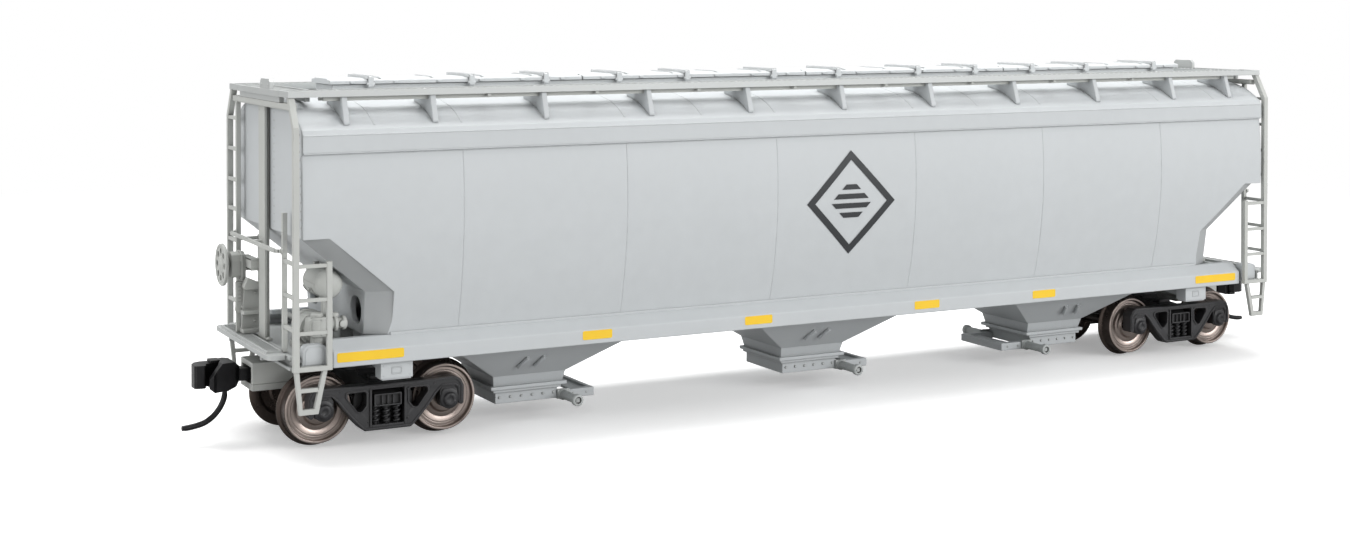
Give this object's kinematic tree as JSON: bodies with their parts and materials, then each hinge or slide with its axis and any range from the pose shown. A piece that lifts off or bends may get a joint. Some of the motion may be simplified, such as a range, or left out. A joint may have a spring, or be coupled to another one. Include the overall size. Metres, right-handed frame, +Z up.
{
  "type": "model railway covered hopper car",
  "caption": "Model railway covered hopper wagon with a ribbed-roof body, roof hatches and walkways, hopper bays, swivelling trucks, knuckle couplers and a hand brake wheel.",
  "frame": {"origin": "centre of the car, on the plane of the rail tops (the wheel treads' lowest line); the flanges reach below it", "axes": "+X along the track towards the A end, away from the hand brake end; +Y to the car's left side when it is looked at from the B end towards +X; +Z up"},
  "size_m": [0.218, 0.0376, 0.0564],
  "materials": {
    "body_grey": "painted flat light grey over moulded styrene",
    "roof_grey": "painted flat pale grey",
    "detail_grey": "painted flat warm light grey, flexible acetal mouldings",
    "etched_walk": "photo-etched sheet painted flat light grey",
    "black_plastic": "moulded charcoal black acetal, satin",
    "spring_black": "moulded coil springs, satin black",
    "coupler_black": "blackened cast metal, satin",
    "axle_black": "blackened steel",
    "wheel_metal": "turned and chemically browned nickel, bright tread edges",
    "ballast_steel": "mill finish sheet steel"
  },
  "bodies": {
    "car_body": {"air_reservoir": "detail_grey", "assembly_screws": "axle_black", "ballast_weight": "ballast_steel", "body_bolster_a": "body_grey", "body_bolster_b": "body_grey", "body_shell": "body_grey", "brake_cylinder": "detail_grey", "brake_housing": "detail_grey", "brake_linkage": "detail_grey", "center_sill": "body_grey", "control_valve": "detail_grey", "corner_ladders_a_left": "detail_grey", "corner_ladders_a_right": "detail_grey", "corner_ladders_b_left": "detail_grey", "corner_ladders_b_right": "detail_grey", "coupler_box_a": "detail_grey", "coupler_box_b": "detail_grey", "coupler_box_lids": "detail_grey", "end_grab_irons": "detail_grey", "end_platform_a": "etched_walk", "end_platform_b": "etched_walk", "end_post_a": "body_grey", "end_post_b": "body_grey", "end_running_board_a": "etched_walk", "end_running_board_b": "etched_walk", "floor_plate": "body_grey", "gate_capstans": "body_grey", "hatch_battens": "roof_grey", "hatch_coaming": "body_grey", "hatch_covers": "roof_grey", "hopper_bay_1": "body_grey", "hopper_bay_2": "body_grey", "hopper_bay_3": "body_grey", "outlet_gate_1": "body_grey", "outlet_gate_2": "body_grey", "outlet_gate_3": "body_grey", "roof_gussets": "body_grey", "running_board_left": "etched_walk", "running_board_right": "etched_walk", "side_sill_left": "body_grey", "side_sill_right": "body_grey"},
    "truck_b": {"truck_frame_b": "black_plastic", "truck_springs_b": "spring_black"},
    "truck_a": {"truck_frame_a": "black_plastic", "truck_springs_a": "spring_black"},
    "wheelset_1": {"axle_1": "axle_black", "wheels_1": "wheel_metal"},
    "wheelset_2": {"axle_2": "axle_black", "wheels_2": "wheel_metal"},
    "wheelset_3": {"axle_3": "axle_black", "wheels_3": "wheel_metal"},
    "wheelset_4": {"axle_4": "axle_black", "wheels_4": "wheel_metal"},
    "coupler_head_b": {"coupler_b": "coupler_black"},
    "coupler_head_a": {"coupler_a": "coupler_black"},
    "knuckle_jaw_b": {"knuckle_b": "coupler_black", "trip_pin_b": "coupler_black"},
    "knuckle_jaw_a": {"knuckle_a": "coupler_black", "trip_pin_a": "coupler_black"},
    "hand_brake": {"brake_wheel": "detail_grey"}
  },
  "joints": [
    {"name": "truck_swivel_b", "type": "hinge", "parent": "car_body", "child": "truck_b", "pos_m": [-0.0805, 0, 0.0103], "axis": [0, 0, 1], "range_deg": [-10, 10]},
    {"name": "truck_swivel_a", "type": "hinge", "parent": "car_body", "child": "truck_a", "pos_m": [0.0805, 0, 0.0103], "axis": [0, 0, 1], "range_deg": [-10, 10]},
    {"name": "wheel_spin_1", "type": "hinge", "parent": "truck_b", "child": "wheelset_1", "pos_m": [-0.0907, 0, 0.00525], "axis": [0, 1, 0], "continuous": true},
    {"name": "wheel_spin_2", "type": "hinge", "parent": "truck_b", "child": "wheelset_2", "pos_m": [-0.0703, 0, 0.00525], "axis": [0, 1, 0], "continuous": true},
    {"name": "wheel_spin_3", "type": "hinge", "parent": "truck_a", "child": "wheelset_3", "pos_m": [0.0703, 0, 0.00525], "axis": [0, 1, 0], "continuous": true},
    {"name": "wheel_spin_4", "type": "hinge", "parent": "truck_a", "child": "wheelset_4", "pos_m": [0.0907, 0, 0.00525], "axis": [0, 1, 0], "continuous": true},
    {"name": "coupler_swing_b", "type": "hinge", "parent": "car_body", "child": "coupler_head_b", "pos_m": [-0.0926, 0, 0.0099], "axis": [0, 0, 1], "range_deg": [-10, 10]},
    {"name": "coupler_swing_a", "type": "hinge", "parent": "car_body", "child": "coupler_head_a", "pos_m": [0.0926, 0, 0.0099], "axis": [0, 0, 1], "range_deg": [-10, 10]},
    {"name": "knuckle_open_b", "type": "hinge", "parent": "coupler_head_b", "child": "knuckle_jaw_b", "pos_m": [-0.1039, 0.0019, 0.0099], "axis": [0, 0, -1], "range_deg": [0, 25]},
    {"name": "knuckle_open_a", "type": "hinge", "parent": "coupler_head_a", "child": "knuckle_jaw_a", "pos_m": [0.1039, -0.0019, 0.0099], "axis": [0, 0, -1], "range_deg": [0, 25]},
    {"name": "hand_brake_turn", "type": "hinge", "parent": "car_body", "child": "hand_brake", "pos_m": [-0.101, 0.0067, 0.026], "axis": [1, 0, 0], "continuous": true}
  ]
}
